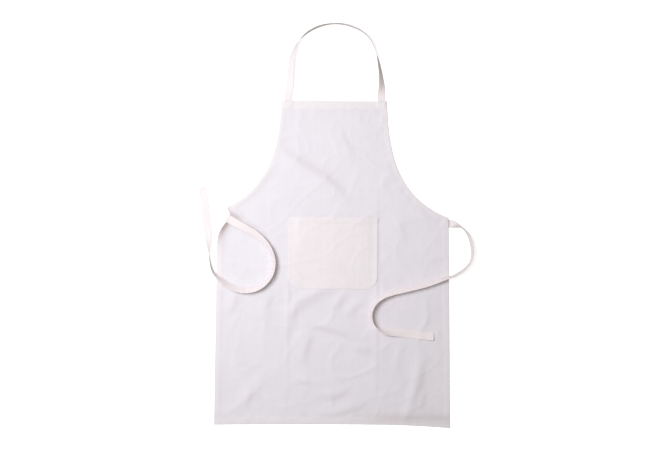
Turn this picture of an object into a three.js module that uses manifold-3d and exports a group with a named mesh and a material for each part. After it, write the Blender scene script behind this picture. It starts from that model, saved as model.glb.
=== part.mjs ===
// A cotton bib apron laid out on a table, front up: one cut cloth with turned hems, a patch
// pocket, a neck strap and two waist ties. Sizes are in millimetres. The origin is on the back
// of the cloth at the middle of the waist, +X to the right, +Y towards the neck, +Z off the table.

import * as THREE from "three";
import { mergeVertices } from "three/addons/utils/BufferGeometryUtils.js";
import Module from "manifold-3d";

const wasm = await Module();
wasm.setup();

// Driving dimensions of the cut cloth.
const BIB_WIDTH = 288;
const BIB_HEIGHT = 320;
const WAIST_WIDTH = 634;
const SKIRT_WIDTH = 650;
const SKIRT_HEIGHT = 578;

// Cloth, hems and the gap that two sewn pieces keep.
const CLOTH = 0.8;
const HEM_LAYERS = 3;
const HEM = HEM_LAYERS * CLOTH;
const TOP_HEM_WIDTH = 22;
const BOTTOM_HEM_WIDTH = 18;
const SIDE_HEM_WIDTH = 14;
const ARMHOLE_HEM_WIDTH = 9;
const GAP = 0.3;

// The folded tape of the neck strap and the ties.
const TAPE_WIDTH = 22;
const TAPE = 1.2;
const TAPE_STEPS = 3; // lengths of tape between two points of a route
const STRAP_SEWN = 18; // what the top hem holds of each end of the neck strap
const STRAP_FREE = 2.5; // and what stands out of it before the strap can bend

// The patch pocket, whose mouth is at the waist.
const POCKET_WIDTH = 246;
const POCKET_HEIGHT = 198;
const POCKET_CORNER = 35;
const POCKET_HEM_WIDTH = 18;
const POCKET_SEAM = 8;
const POCKET_RISE = 6; // how far the middle of the pocket stands off the cloth
const POCKET_SLOPE = 60; // and how far up from the foot it takes to rise
const POCKET_FLOOR = CLOTH + 0.1;

// Stitching is a low cord of thread.
const THREAD_WIDTH = 0.8;
const THREAD = 0.25;
const THREAD_LIFT = 0.12;
const ROW_INSET = 2; // from the turned edge of a hem to its row of stitching
const ROW_SHORT = 4; // rows stop this far from the hems that they would cross

const cotton = { roughness: 0.9, metalness: 0 };
const clothMaterial = new THREE.MeshStandardMaterial({ color: 0xe9e5e6, ...cotton });
const hemMaterial = new THREE.MeshStandardMaterial({ color: 0xeeeae6, ...cotton });
const pocketMaterial = new THREE.MeshStandardMaterial({ color: 0xf0e9e4, ...cotton });
const tapeMaterial = new THREE.MeshStandardMaterial({ color: 0xf4efe9, ...cotton });
const threadMaterial = new THREE.MeshStandardMaterial({ color: 0xf3ecdf, ...cotton });

// Solids: a closed geometry becomes a manifold-3d solid for cutting, and comes back again.

function solidOf(geometry) {
  const bare = geometry.index ? geometry.toNonIndexed() : geometry.clone();
  bare.deleteAttribute("normal");
  bare.deleteAttribute("uv");
  const merged = mergeVertices(bare, 1e-3);
  return new wasm.Manifold(
    new wasm.Mesh({
      numProp: 3,
      vertProperties: merged.attributes.position.array,
      triVerts: new Uint32Array(merged.index.array),
    }),
  );
}

function geometryOf(solid) {
  const mesh = solid.getMesh();
  const geometry = new THREE.BufferGeometry();
  geometry.setAttribute("position", new THREE.BufferAttribute(mesh.vertProperties, 3));
  geometry.setIndex(new THREE.BufferAttribute(mesh.triVerts, 1));
  geometry.computeVertexNormals();
  return geometry;
}

function plate(shape, bottom, height) {
  const geometry = new THREE.ExtrudeGeometry(shape, { depth: height, bevelEnabled: false });
  return geometry.translate(0, 0, bottom);
}

// A box whose length, along its own X from 0 to 1, is bent by `place`.
function bent(steps, width, thickness, place) {
  const geometry = new THREE.BoxGeometry(1, width, thickness, steps, 1, 1);
  const position = geometry.attributes.position;
  const point = new THREE.Vector3();
  for (let i = 0; i < position.count; i++) {
    point.fromBufferAttribute(position, i);
    const placed = place(point.x + 0.5, point.y, point.z);
    position.setXYZ(i, placed.x, placed.y, placed.z);
  }
  return geometry;
}

// A flat bar beside a path, from `near` to `far` to the left of it, which starts `before` its
// start and stops `after` its end.
function bar(path, steps, near, far, bottom, height, before, after = before) {
  const length = path.getLength();
  return bent(steps, far - near, height, (share, across, up) => {
    const along = share * (length + before + after) - before;
    const held = THREE.MathUtils.clamp(along / length, 0, 1);
    const point = path.getPointAt(held);
    const tangent = path.getTangentAt(held);
    const over = along - held * length;
    const inside = (near + far) / 2 + across;
    return new THREE.Vector3(
      point.x + tangent.x * over - tangent.y * inside,
      point.y + tangent.y * over + tangent.x * inside,
      bottom + height / 2 + up,
    );
  });
}

// The edges of the cloth, one after the other with the cloth on their left. The left corner of
// the waist is drawn in by its tie, which folds forward over the edge there.

const pathThrough = (...points) => new THREE.Path(points.map(([x, y]) => new THREE.Vector2(x, y)));

function curvedPath(start, firstHandle, secondHandle, end) {
  const path = new THREE.Path().moveTo(...start);
  return path.bezierCurveTo(...firstHandle, ...secondHandle, ...end);
}

function splinePath(...points) {
  const [start, ...rest] = points.map(([x, y]) => new THREE.Vector2(x, y));
  return new THREE.Path().moveTo(start.x, start.y).splineThru(rest);
}

const rightWaist = [WAIST_WIDTH / 2, 0];
const leftWaist = [-294, 25];
const bibRight = [BIB_WIDTH / 2, BIB_HEIGHT];
const bibLeft = [-BIB_WIDTH / 2, BIB_HEIGHT];
const hemRight = [SKIRT_WIDTH / 2, -SKIRT_HEIGHT];
const hemLeft = [-SKIRT_WIDTH / 2, 5 - SKIRT_HEIGHT];
const bottomPoints = [[-150, 7 - SKIRT_HEIGHT], [50, 8 - SKIRT_HEIGHT], [200, 6.5 - SKIRT_HEIGHT]];
const leftSidePoints = [[-286, 9], [-287, -2], [-294, -14], [-310, -36], [-319, -66], [-321, -125]];

const edges = {
  right_side: { path: pathThrough(hemRight, rightWaist), steps: 1, hem: SIDE_HEM_WIDTH },
  right_armhole: {
    path: curvedPath(rightWaist, [190, 50], [150, 150], bibRight),
    steps: 24,
    hem: ARMHOLE_HEM_WIDTH,
  },
  top: { path: pathThrough(bibRight, bibLeft), steps: 1, hem: TOP_HEM_WIDTH },
  left_armhole: {
    path: curvedPath(bibLeft, [-150, 150], [-200, 70], leftWaist),
    steps: 24,
    hem: ARMHOLE_HEM_WIDTH,
  },
  left_side: {
    path: splinePath(leftWaist, ...leftSidePoints, hemLeft),
    steps: 28,
    hem: SIDE_HEM_WIDTH,
  },
  bottom: {
    path: splinePath(hemLeft, ...bottomPoints, hemRight),
    steps: 12,
    hem: BOTTOM_HEM_WIDTH,
  },
};

const CUT_OUTSIDE = 6; // a hem's strip starts this far outside the cloth, so that it cuts clean
const CUT_PAST = 20; // and runs this far past the ends of its edge
const CUT_DEPTH = 8;

const outline = new THREE.Shape(
  Object.values(edges).flatMap(({ path, steps }) => path.getSpacedPoints(steps).slice(0, -1)),
);

function hemStrip(name, extra = 0) {
  const { path, steps, hem } = edges[name];
  const strip = bar(path, steps, -CUT_OUTSIDE, hem + extra, -CUT_DEPTH / 2, CUT_DEPTH, CUT_PAST);
  return solidOf(strip);
}

const without = (solid, ...names) =>
  names.reduce((left, name) => left.subtract(hemStrip(name, GAP)), solid);

// The tapes. A route is a list of [x, y, rest, roll]: the middle of the tape in plan, the height
// of what it lies on, and how far its left edge is turned up, in degrees, where 90 is on edge
// and 180 is face down.

const ON_TABLE = 0;
const ON_CLOTH = CLOTH + 0.3;
const ON_HEM = HEM + 0.9; // clear of the row of stitching too
const ARCH = 2; // how far the left tie springs up past its fold

// The neck strap: flat at both ends, standing on its outer edge over the top of the loop.
const neckRoute = [
  [-126, 323, ON_TABLE, 0],
  [-126, 336, ON_TABLE, -4],
  [-124, 350, ON_TABLE, -18],
  [-122, 367, ON_TABLE, -27],
  [-120, 400, ON_TABLE, -30],
  [-117, 431, ON_TABLE, -42],
  [-111, 455, ON_TABLE, -56],
  [-102, 477, ON_TABLE, -74],
  [-85, 498, ON_TABLE, -87],
  [-64, 513, ON_TABLE, -91],
  [-40, 524, ON_TABLE, -91],
  [-12, 530, ON_TABLE, -86],
  [20, 530, ON_TABLE, -88],
  [48, 523, ON_TABLE, -90],
  [72, 512, ON_TABLE, -90],
  [93, 495, ON_TABLE, -90],
  [106, 474, ON_TABLE, -90],
  [114, 452, ON_TABLE, -84],
  [121, 425, ON_TABLE, -70],
  [127, 393, ON_TABLE, -58],
  [130, 363, ON_TABLE, -40],
  [130, 345, ON_TABLE, -14],
  [130, 334, ON_TABLE, -2],
  [130, 323, ON_TABLE, 0],
];

// The left tie: sewn under the side hem, folded forward over the edge, then round in a loop
// that leaves the cloth again and ends flat on the table.
const LEFT_TIE_FOLD = 4; // the first point after the fold
const LEFT_TIE_BEND = 25; // the point where the end of the tie lifts
const leftTieRoute = [
  [-282, -10, ON_TABLE, 0],
  [-287, -7.1, ON_TABLE, 0],
  [-292, -4.2, ON_TABLE, 0],
  [-295, -2.4, 2, 0],
  [-292, -4.2, ON_HEM + 0.6, 0],
  [-283, -9.4, ON_HEM + 0.6, 4],
  [-264, -20, ON_HEM + ARCH, 12],
  [-242, -32, ON_HEM + ARCH, 18],
  [-215, -48, ON_CLOTH + ARCH, 25],
  [-192, -67, ON_CLOTH, 38],
  [-174, -88, ON_CLOTH, 54],
  [-163, -113, ON_CLOTH, 66],
  [-161.5, -138, ON_CLOTH, 70],
  [-170, -164, ON_CLOTH, 69],
  [-190, -187, ON_CLOTH, 64],
  [-215, -199.5, ON_CLOTH, 56],
  [-245, -202.5, ON_CLOTH, 50],
  [-275, -194.5, ON_CLOTH, 52],
  [-303, -177, ON_HEM, 64],
  [-325, -157, ON_HEM, 80],
  [-336, -132, ON_TABLE, 90],
  [-340, -105, ON_TABLE, 99],
  [-342, -77, ON_TABLE, 128],
  [-345, -50, ON_TABLE, 157],
  [-347.5, -26, ON_TABLE, 176],
  [-351, 6, ON_TABLE, 180],
  [-356, 45, ON_TABLE, 180],
  [-362, 81, ON_TABLE, 180],
];

// The right tie: out from under the side hem, round on edge beside the apron, back over the
// cloth, and round again to its flat end.
const RIGHT_TIE_OUT = 2; // the first point outside the cloth
const RIGHT_TIE_BEND = 28;
const rightTieRoute = [
  [306, -16, ON_TABLE, 0],
  [314, -16, ON_TABLE, 0],
  [322, -16, ON_TABLE, 0],
  [334, -18, ON_TABLE, 38],
  [350, -25, ON_TABLE, 82],
  [364, -37, ON_TABLE, 82],
  [375, -55, ON_TABLE, 73],
  [381, -79, ON_TABLE, 72],
  [382, -102, ON_TABLE, 80],
  [375, -124, ON_TABLE, 82],
  [358, -143, ON_TABLE, 79],
  [341, -154, ON_TABLE, 79],
  [329, -160, ON_HEM, 78],
  [307, -166, ON_HEM, 72],
  [279, -175.5, ON_CLOTH, 62],
  [246, -186, ON_CLOTH, 57],
  [205, -196.5, ON_CLOTH, 57],
  [167, -206, ON_CLOTH, 60],
  [138, -217.5, ON_CLOTH, 68],
  [116, -236.5, ON_CLOTH, 74],
  [105.5, -262, ON_CLOTH, 77],
  [109, -286, ON_CLOTH, 82],
  [121, -302, ON_CLOTH, 93],
  [136, -310, ON_CLOTH, 120],
  [151, -313, ON_CLOTH, 142],
  [166, -315, ON_CLOTH, 157],
  [180, -316.5, ON_CLOTH, 169],
  [194, -318, ON_CLOTH, 177],
  [220, -321, ON_CLOTH, 180],
  [248, -324, ON_CLOTH, 175],
  [278, -326, ON_CLOTH + 1, 168],
];

const up = new THREE.Vector3(0, 0, 1);

// The middle of a tape and the direction of its left edge, as curves that share one parameter.
// The points before a fold, where the tape doubles back, take the edge of the point after it.
function tapeOf(route, fold = 0) {
  const middles = [];
  const edgeways = [];
  route.forEach(([x, y, rest, roll], i) => {
    const before = route[Math.max(i, fold) - (i > 0 ? 1 : 0)];
    const after = route[Math.min(Math.max(i, fold) + 1, route.length - 1)];
    const turn = THREE.MathUtils.degToRad(roll);
    const left = new THREE.Vector3(before[1] - after[1], after[0] - before[0], 0).normalize();
    const lean = (TAPE_WIDTH / 2) * Math.abs(Math.sin(turn)) + (TAPE / 2) * Math.abs(Math.cos(turn));
    middles.push(new THREE.Vector3(x, y, rest + lean));
    edgeways.push(left.multiplyScalar(Math.cos(turn)).addScaledVector(up, Math.sin(turn)));
  });
  return {
    middle: new THREE.CatmullRomCurve3(middles),
    edgeway: new THREE.CatmullRomCurve3(edgeways),
    last: route.length - 1,
  };
}

// A stretch of tape between two points of its route, `width` wide and set off its middle plane.
function tapeStretch(tape, first, end, width = TAPE_WIDTH, thickness = TAPE, off = 0, aside = 0) {
  const steps = Math.ceil((end - first) * TAPE_STEPS);
  return bent(steps, width, thickness, (share, across, out) => {
    const at = (first + share * (end - first)) / tape.last;
    const along = tape.middle.getTangent(at);
    const edgeway = tape.edgeway.getPoint(at);
    edgeway.addScaledVector(along, -edgeway.dot(along)).normalize();
    const face = along.cross(edgeway);
    const point = tape.middle.getPoint(at);
    point.addScaledVector(edgeway, aside + across).addScaledVector(face, off + out);
    return point.setZ(Math.max(point.z, 0)); // the table holds it up
  });
}

const neckTape = tapeOf(neckRoute);
const leftTape = tapeOf(leftTieRoute, LEFT_TIE_FOLD);
const rightTape = tapeOf(rightTieRoute);
const BEND_GAP = 0.02; // in points of the route, about half a millimetre

// The slot that a hem leaves for the end of a tape sewn in under it.
const SLOT_HEIGHT = TAPE + 2 * GAP;

function tieSlot([start, , outside]) {
  const path = pathThrough(start.slice(0, 2), outside.slice(0, 2));
  const half = TAPE_WIDTH / 2 + GAP;
  return solidOf(bar(path, 1, -half, half, -1, SLOT_HEIGHT + 1, GAP, 0));
}

function strapEnd(x, extra = 0) {
  const half = TAPE_WIDTH / 2 + extra;
  const foot = BIB_HEIGHT - STRAP_SEWN - extra;
  const top = BIB_HEIGHT + STRAP_FREE;
  const shape = new THREE.Shape();
  shape.moveTo(x - half, foot).lineTo(x + half, foot).lineTo(x + half, top).lineTo(x - half, top);
  return extra ? solidOf(plate(shape, -1, SLOT_HEIGHT + 1)) : plate(shape, 0, TAPE);
}

const strapEndX = { left: -126, right: 130 };

// The pocket: a flat seam round three sides, and a middle that stands off the cloth.

function pocketRise(x, y) {
  const inner = POCKET_WIDTH / 2 - POCKET_SEAM;
  const acrossShare = Math.min(Math.abs(x) / inner, 1);
  const upShare = (y + POCKET_HEIGHT - POCKET_SEAM) / POCKET_SLOPE;
  return POCKET_RISE * (1 - acrossShare ** 4) * THREE.MathUtils.smoothstep(upShare, 0, 1);
}

function pocketOutline() {
  const half = POCKET_WIDTH / 2;
  const shape = new THREE.Shape();
  shape.moveTo(half, 0).lineTo(-half, 0).lineTo(-half, POCKET_CORNER - POCKET_HEIGHT);
  shape.absarc(POCKET_CORNER - half, POCKET_CORNER - POCKET_HEIGHT, POCKET_CORNER, Math.PI, Math.PI * 1.5);
  shape.absarc(half - POCKET_CORNER, POCKET_CORNER - POCKET_HEIGHT, POCKET_CORNER, -Math.PI / 2, 0);
  return shape;
}

// A sheet of the pocket between two heights of y, risen as the pocket is, whose outermost
// columns are its flat seams.
const POCKET_COLUMNS = 16;

function pocketSheet(low, high, thickness, rows) {
  const half = POCKET_COLUMNS / 2;
  const geometry = new THREE.BoxGeometry(2 * half, high - low, thickness, POCKET_COLUMNS, rows, 1);
  geometry.translate(0, (high + low) / 2, POCKET_FLOOR + thickness / 2);
  const position = geometry.attributes.position;
  const inner = (POCKET_WIDTH / 2 - POCKET_SEAM) / (half - 1);
  for (let i = 0; i < position.count; i++) {
    const column = position.getX(i);
    const seam = Math.max(Math.abs(column) - (half - 1), 0);
    const x = Math.sign(column) * ((Math.abs(column) - seam) * inner + seam * POCKET_SEAM);
    position.setX(i, x);
    position.setZ(i, position.getZ(i) + pocketRise(x, position.getY(i)));
  }
  return geometry;
}

// The group, piece by piece.

const apron = new THREE.Group();

function add(name, geometry, material) {
  const mesh = new THREE.Mesh(geometry, material);
  mesh.name = name;
  apron.add(mesh);
}

const sheet = solidOf(plate(outline, 0, CLOTH));
add("body_panel", geometryOf(without(sheet, ...Object.keys(edges))), clothMaterial);

const hemmed = solidOf(plate(outline, 0, HEM));
const hems = {
  top: [],
  bottom: [],
  left_side: ["bottom"],
  right_side: ["bottom"],
  left_armhole: ["top", "left_side"],
  right_armhole: ["top", "right_side"],
};
const slots = {
  top: [strapEnd(strapEndX.left, GAP), strapEnd(strapEndX.right, GAP)],
  left_side: [tieSlot(leftTieRoute)],
  right_side: [tieSlot(rightTieRoute)],
};

for (const [name, crossed] of Object.entries(hems)) {
  const whole = without(hemmed.intersect(hemStrip(name)), ...crossed);
  const cut = (slots[name] ?? []).reduce((left, slot) => left.subtract(slot), whole);
  add(name + "_hem", geometryOf(cut), hemMaterial);
}

// Rows of stitching along the hems.
const rowHalf = THREAD_WIDTH / 2;

for (const [name, { path, steps, hem }] of Object.entries(edges)) {
  const inset = hem - ROW_INSET;
  const crossed = name === "top" || name === "bottom" ? SIDE_HEM_WIDTH : TOP_HEM_WIDTH;
  const short = -crossed - ROW_SHORT;
  const row = bar(path, steps, inset - rowHalf, inset + rowHalf, HEM + THREAD_LIFT, THREAD, short);
  add(name + "_stitching", row, threadMaterial);
}

// The pocket, its hem and its stitching.
const pocketCut = solidOf(plate(pocketOutline(), 0, 4 * POCKET_RISE));
const pocketBody = solidOf(pocketSheet(-POCKET_HEIGHT, -POCKET_HEM_WIDTH - GAP, CLOTH, 12));
add("pocket_panel", geometryOf(pocketBody.intersect(pocketCut)), pocketMaterial);
add("pocket_hem", pocketSheet(-POCKET_HEM_WIDTH, 0, HEM, 1), pocketMaterial);

function pocketSeamPath(inset) {
  const half = POCKET_WIDTH / 2 - inset;
  const top = -POCKET_HEM_WIDTH - ROW_SHORT;
  const radius = POCKET_CORNER - inset;
  const low = inset - POCKET_HEIGHT;
  const path = new THREE.Path().moveTo(-half, top).lineTo(-half, low + radius);
  path.absarc(radius - half, low + radius, radius, Math.PI, Math.PI * 1.5);
  path.absarc(half - radius, low + radius, radius, -Math.PI / 2, 0);
  return path.lineTo(half, top);
}

const pocketThread = POCKET_FLOOR + CLOTH + THREAD_LIFT;
const seam = bar(pocketSeamPath(ROW_INSET), 60, -rowHalf, rowHalf, pocketThread, THREAD, 0);
add("pocket_seam_stitching", seam, threadMaterial);

const HEM_ROW_LENGTH = POCKET_WIDTH - 4 * POCKET_SEAM;
const HEM_ROW_LIFT = 0.5; // clears the facets of the risen hem
const hemRow = bent(POCKET_COLUMNS, THREAD_WIDTH, THREAD, (share, across, out) => {
  const x = (share - 0.5) * HEM_ROW_LENGTH;
  const y = ROW_INSET - POCKET_HEM_WIDTH + across;
  return new THREE.Vector3(x, y, POCKET_FLOOR + pocketRise(x, y) + HEM + HEM_ROW_LIFT + out);
});
add("pocket_hem_stitching", hemRow, threadMaterial);

// Bartacks: the dense short bars of thread at the corners of the pocket's mouth.
const BARTACK_LENGTH = 12;
const BARTACK_WIDTH = 1.8;
const BARTACK = 0.5;

for (const [side, sign] of [["left", -1], ["right", 1]]) {
  const bartack = new THREE.BoxGeometry(BARTACK_WIDTH, BARTACK_LENGTH, BARTACK);
  const x = sign * (POCKET_WIDTH / 2 - ROW_INSET);
  const z = POCKET_FLOOR + HEM + THREAD_LIFT + BARTACK / 2;
  bartack.translate(x, -BARTACK_LENGTH / 2 - 1, z);
  add("pocket_bartack_" + side, bartack, threadMaterial);
}

// Box stitches: the squares of thread that hold the sewn ends of the tapes.

function boxStitch(x, y, width, height, bottom) {
  const rim = (w, h, Kind) => {
    const path = new Kind();
    path.moveTo(x - w, y - h).lineTo(x + w, y - h).lineTo(x + w, y + h).lineTo(x - w, y + h);
    return path.lineTo(x - w, y - h);
  };
  const shape = rim(width / 2, height / 2, THREE.Shape);
  shape.holes.push(rim(width / 2 - THREAD_WIDTH, height / 2 - THREAD_WIDTH, THREE.Path));
  return plate(shape, bottom, THREAD);
}

const strapBoxY = BIB_HEIGHT - TOP_HEM_WIDTH / 2 + 2;
for (const [side, x] of Object.entries(strapEndX)) {
  add("neck_strap_sewn_end_" + side, strapEnd(x), tapeMaterial);
  const box = boxStitch(x, strapBoxY, TAPE_WIDTH - 6, 10, HEM + THREAD_LIFT);
  add("neck_strap_box_stitch_" + side, box, threadMaterial);
}

// The tapes and the row of stitching that closes each one.
const EDGE_ROW = 3; // from the folded edge of a tape to its row
const TWIST_LIFT = 0.8; // clears the facets of a twisting tape
const edgeRow = TAPE_WIDTH / 2 - EDGE_ROW;
const offFace = TAPE / 2 + TWIST_LIFT + THREAD / 2;
const tapeRow = (tape, first, end) =>
  tapeStretch(tape, first, end, THREAD_WIDTH, THREAD, offFace, edgeRow);

add("neck_strap", tapeStretch(neckTape, 0, neckTape.last), tapeMaterial);
add("neck_strap_stitching", tapeRow(neckTape, 1, neckTape.last - 1), threadMaterial);

// The turned end of a tie, which lies face down, and the row across it, in points of its route.
const END_HEM = 0.3;
const END_ROW = 0.03;

const ties = [
  ["left_tie", leftTape, LEFT_TIE_BEND, LEFT_TIE_FOLD],
  ["right_tie", rightTape, RIGHT_TIE_BEND, RIGHT_TIE_OUT],
];
for (const [name, tape, bend, seenFrom] of ties) {
  add(name, tapeStretch(tape, 0, bend - BEND_GAP), tapeMaterial);
  add(name + "_stitching", tapeRow(tape, seenFrom, bend - 1), threadMaterial);
  add(name + "_end", tapeStretch(tape, bend + BEND_GAP, tape.last), tapeMaterial);
  const hemAt = tape.last - END_HEM;
  const row = tapeStretch(tape, hemAt, hemAt + END_ROW, TAPE_WIDTH - 4, THREAD, -offFace);
  add(name + "_end_stitching", row, threadMaterial);
}

export default apron;
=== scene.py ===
# A cotton bib apron laid out flat on a pale table, front up.
import math

import bmesh
import bpy
import numpy as np
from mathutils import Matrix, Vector, noise


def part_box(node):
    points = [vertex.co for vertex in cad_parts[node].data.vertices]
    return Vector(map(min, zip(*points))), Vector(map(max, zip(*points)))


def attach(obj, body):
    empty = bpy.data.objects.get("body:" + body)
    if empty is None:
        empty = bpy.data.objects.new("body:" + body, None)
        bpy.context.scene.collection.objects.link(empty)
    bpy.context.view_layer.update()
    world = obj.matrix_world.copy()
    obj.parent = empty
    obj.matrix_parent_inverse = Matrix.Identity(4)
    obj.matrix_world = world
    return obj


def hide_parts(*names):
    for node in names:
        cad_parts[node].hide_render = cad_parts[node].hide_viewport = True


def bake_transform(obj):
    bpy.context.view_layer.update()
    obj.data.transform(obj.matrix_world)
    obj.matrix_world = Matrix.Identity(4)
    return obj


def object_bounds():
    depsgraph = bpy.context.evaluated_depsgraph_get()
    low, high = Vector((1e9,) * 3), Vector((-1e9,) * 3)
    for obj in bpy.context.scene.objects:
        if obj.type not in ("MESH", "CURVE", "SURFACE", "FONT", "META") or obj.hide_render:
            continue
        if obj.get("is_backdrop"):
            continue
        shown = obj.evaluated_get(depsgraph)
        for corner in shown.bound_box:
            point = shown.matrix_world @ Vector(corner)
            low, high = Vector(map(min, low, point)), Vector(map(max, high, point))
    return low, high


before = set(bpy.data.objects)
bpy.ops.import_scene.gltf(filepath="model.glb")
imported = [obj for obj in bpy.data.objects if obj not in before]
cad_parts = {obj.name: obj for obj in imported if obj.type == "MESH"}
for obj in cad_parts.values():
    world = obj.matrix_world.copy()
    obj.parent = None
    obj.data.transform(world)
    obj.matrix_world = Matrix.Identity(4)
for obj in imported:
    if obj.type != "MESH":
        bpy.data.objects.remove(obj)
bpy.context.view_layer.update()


# The camera looks straight down on the apron, as over a cutting table.
# The apron lies a little under half a degree askew under it.
LENS = 42.9
CAMERA_PLACE = (0.0045, -0.0215, 2.2)
ASKEW = math.radians(0.4)

camera_data = bpy.data.cameras.new("camera")
camera_data.lens = LENS
camera = bpy.data.objects.new("camera", camera_data)
camera.location = CAMERA_PLACE
camera.rotation_euler = (0, 0, ASKEW)
bpy.context.scene.collection.objects.link(camera)
bpy.context.scene.camera = camera


# The table is a plain white board, lit so that it stays white to its edges.
# One soft lamp stands high at the left, and a white room fills the shadows.
TABLE_SIZE = 30
TABLE_DROP = 0.0002
TABLE_WHITE = (0.86, 0.86, 0.87, 1)
TABLE_GLOW = 0.62
LAMP_PLACE = Vector((-0.8, 0.29, 1.6))
LAMP_AIM = Vector((0, 0.15, 0))
LAMP_SIZE = 0.8
LAMP_POWER = 26.4
LAMP_COLOUR = (0.975, 1, 1.045)
ROOM_LIGHT = 0.39
ROOM_COLOUR = (1.03, 0.99, 0.93, 1)

# An edge that turns more than this is drawn sharp.
SHARP = math.radians(70)


def own_material(name):
    """A new material, empty but for its shader, and that shader."""
    material = bpy.data.materials.new(name)
    material.use_nodes = True
    return material, material.node_tree.nodes["Principled BSDF"]


def finished(build, name):
    """The bmesh `build` as an object of that name, smooth, with its faces pointing out."""
    mesh = bpy.data.meshes.new(name)
    bmesh.ops.recalc_face_normals(build, faces=build.faces)
    build.to_mesh(mesh)
    build.free()
    mesh.shade_smooth()
    mesh.set_sharp_from_angle(angle=SHARP)
    piece = bpy.data.objects.new(name, mesh)
    bpy.context.scene.collection.objects.link(piece)
    return piece


build = bmesh.new()
bmesh.ops.create_grid(build, x_segments=1, y_segments=1, size=TABLE_SIZE / 2)
table = finished(build, "table")
table_white, shader = own_material("table white")
shader.inputs["Base Color"].default_value = TABLE_WHITE
shader.inputs["Roughness"].default_value = 0.9
shader.inputs["Specular IOR Level"].default_value = 0.1
shader.inputs["Emission Color"].default_value = (1, 1, 1, 1)
shader.inputs["Emission Strength"].default_value = TABLE_GLOW
table.data.materials.append(table_white)
table.location.z = -TABLE_DROP
table.visible_diffuse = False
table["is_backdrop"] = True

lamp_data = bpy.data.lights.new("window lamp", "AREA")
lamp_data.size = LAMP_SIZE
lamp_data.energy = LAMP_POWER
lamp_data.color = LAMP_COLOUR
lamp = bpy.data.objects.new("window lamp", lamp_data)
lamp.location = LAMP_PLACE
lamp.rotation_euler = (LAMP_AIM - LAMP_PLACE).to_track_quat("-Z", "Y").to_euler()
lamp.visible_camera = False
bpy.context.scene.collection.objects.link(lamp)

room = bpy.data.worlds.new("room")
room.use_nodes = True
room.node_tree.nodes["Background"].inputs["Color"].default_value = ROOM_COLOUR
room.node_tree.nodes["Background"].inputs["Strength"].default_value = ROOM_LIGHT
bpy.context.scene.world = room
bpy.context.scene.view_settings.view_transform = "Standard"


# The cloth is one cut of plain-weave cotton: bib and skirt in one, its edges turned under twice.
# It lies flat but for the creases of folding and handling, and it puckers a little at each seam.
CLOTH = 0.0006
HEM = 0.0024
ROW_WIDTH = 0.0014
ROW_DEPTH = 0.0004
HEM_WIDTHS = {
    "top": 0.022, "bottom": 0.018,
    "left_side": 0.014, "right_side": 0.014,
    "left_armhole": 0.010, "right_armhole": 0.010,
}
ROW_INSET = 0.002

low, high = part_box("top_hem")
BIB = (high.x - low.x) / 2
BIB_TOP = high.y
low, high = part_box("bottom_hem")
SKIRT = high.x
SKIRT_FOOT = low.y
WAIST = SKIRT - 0.008
WAIST_LEFT = (-0.294, 0.025)
FOOT_LEFT = (-SKIRT, SKIRT_FOOT + 0.005)
LEFT_SIDE = [
    WAIST_LEFT, (-0.286, 0.009), (-0.287, -0.002), (-0.294, -0.014), (-0.310, -0.036),
    (-0.319, -0.066), (-0.321, -0.125), FOOT_LEFT,
]
FOOT = [
    FOOT_LEFT, (-0.150, SKIRT_FOOT + 0.007), (0.050, SKIRT_FOOT + 0.008),
    (0.200, SKIRT_FOOT + 0.0065), (SKIRT, SKIRT_FOOT),
]


def smooth_line(points, steps):
    """Rows of numbers along a smooth line through `points`, `steps` between each two."""
    rows = np.array(points, float)
    ends = np.vstack([2 * rows[0] - rows[1], rows, 2 * rows[-1] - rows[-2]])
    line = []
    for before, start, end, after in zip(ends, ends[1:], ends[2:], ends[3:]):
        for share in np.arange(steps) / steps:
            pull = (end - before) / 2, (after - start) / 2
            bend = 3 * (end - start) - 2 * pull[0] - pull[1]
            rest = 2 * (start - end) + pull[0] + pull[1]
            line.append(start + share * (pull[0] + share * (bend + share * rest)))
    return np.vstack([line, rows[-1]])


def arc(start, first, second, end, steps=48):
    """Points along the curve of an armhole, drawn with two handles."""
    share = np.linspace(0, 1, steps + 1)[:, None]
    ways = ((1 - share) ** 3, 3 * share * (1 - share) ** 2, 3 * share**2 * (1 - share), share**3)
    return sum(way * np.array(point) for way, point in zip(ways, (start, first, second, end)))


EDGES = {
    "right_side": np.array([(SKIRT, SKIRT_FOOT), (WAIST, 0)]),
    "right_armhole": arc((WAIST, 0), (0.190, 0.050), (0.150, 0.150), (BIB, BIB_TOP)),
    "top": np.array([(BIB, BIB_TOP), (-BIB, BIB_TOP)]),
    "left_armhole": arc((-BIB, BIB_TOP), (-0.150, 0.150), (-0.200, 0.070), WAIST_LEFT),
    "left_side": smooth_line(LEFT_SIDE, 12),
    "bottom": smooth_line(FOOT, 6),
}


def off_line(line, x, y):
    """How far each point lies from a line of points, to its left where positive, and how far
    along it the nearest point is, from 0 to 1."""
    nearest = np.full(x.shape, 9.0)
    side = np.zeros(x.shape)
    along = np.zeros(x.shape)
    lengths = np.hypot(*np.diff(line[:, :2], axis=0).T)
    reached = 0
    for (ax, ay), (bx, by), length in zip(line[:-1, :2], line[1:, :2], lengths):
        if length == 0:
            continue
        ux, uy = (bx - ax) / length, (by - ay) / length
        step = np.clip((x - ax) * ux + (y - ay) * uy, 0, length)
        dx, dy = x - ax - step * ux, y - ay - step * uy
        away = np.hypot(dx, dy)
        closer = away < nearest
        nearest = np.where(closer, away, nearest)
        side = np.where(closer, np.sign(ux * dy - uy * dx), side)
        along = np.where(closer, (reached + step) / lengths.sum(), along)
        reached += length
    return nearest * side, along


def ramp(value, start, end):
    """0 before `start`, 1 after `end`, and smooth between them."""
    share = np.clip((value - start) / (end - start), 0, 1)
    return share * share * (3 - 2 * share)


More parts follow.
